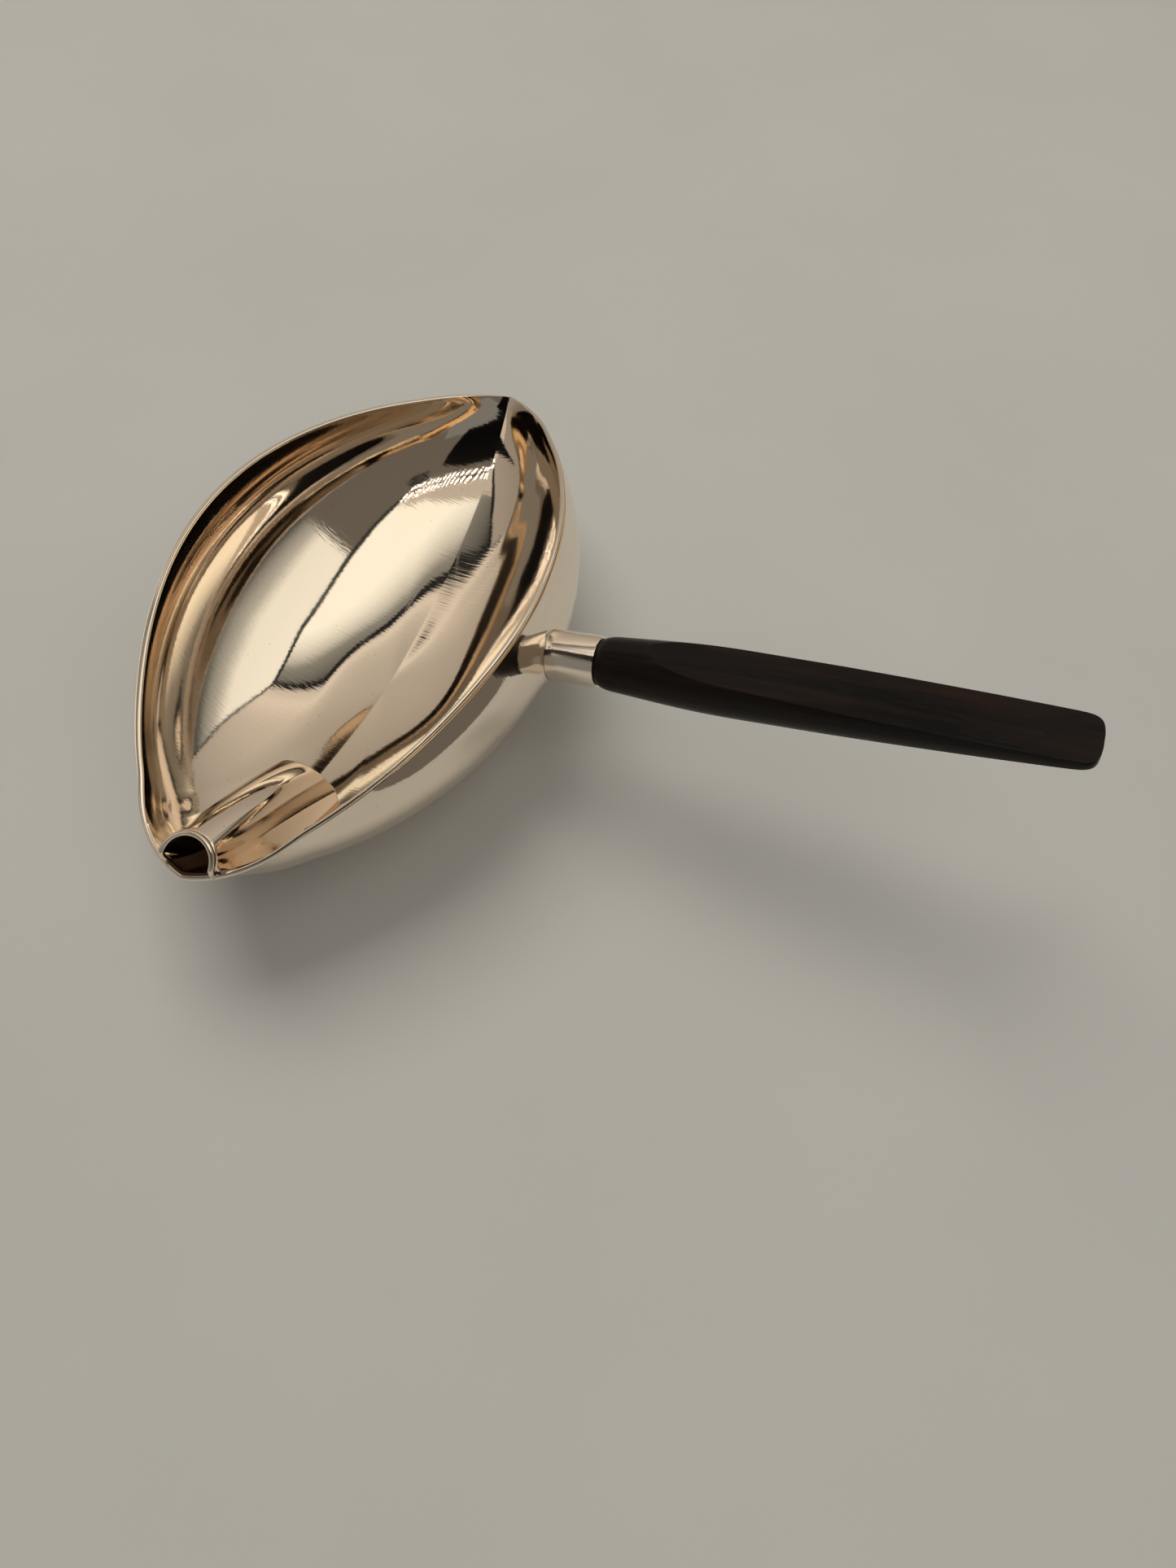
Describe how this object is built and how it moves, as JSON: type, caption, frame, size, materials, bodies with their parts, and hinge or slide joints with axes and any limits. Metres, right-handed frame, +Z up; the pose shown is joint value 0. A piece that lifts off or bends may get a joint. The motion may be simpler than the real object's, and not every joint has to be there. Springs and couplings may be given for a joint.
{
  "type": "sauce boat",
  "caption": "Almond-shaped silver sauce boat with an arched rim, an open pouring lip, a covered tube spout at the other end and a dark wooden side handle.",
  "frame": {"origin": "centre of the flat base, on the surface the bowl stands on", "axes": "+X along the handle as seen from above, +Y toward the open pouring lip, -Y toward the tube spout, +Z up"},
  "size_m": [0.2072, 0.1634, 0.0647],
  "materials": {
    "bowl_silver": "polished silver with fine wear scratches",
    "wire_silver": "polished silver",
    "hood_silver": "polished silver",
    "edge_silver": "polished silver",
    "socket_silver": "polished silver",
    "dark_wood": "oiled dark rosewood",
    "pin_silver": "silver, filed flush"
  },
  "bodies": {
    "root": {"bowl_shell": "bowl_silver", "rim_wire": "wire_silver", "spout_hood": "hood_silver", "spout_mouth_wire": "edge_silver", "handle_socket": "socket_silver", "handle_grip": "dark_wood", "handle_pin": "pin_silver"}
  },
  "joints": []
}
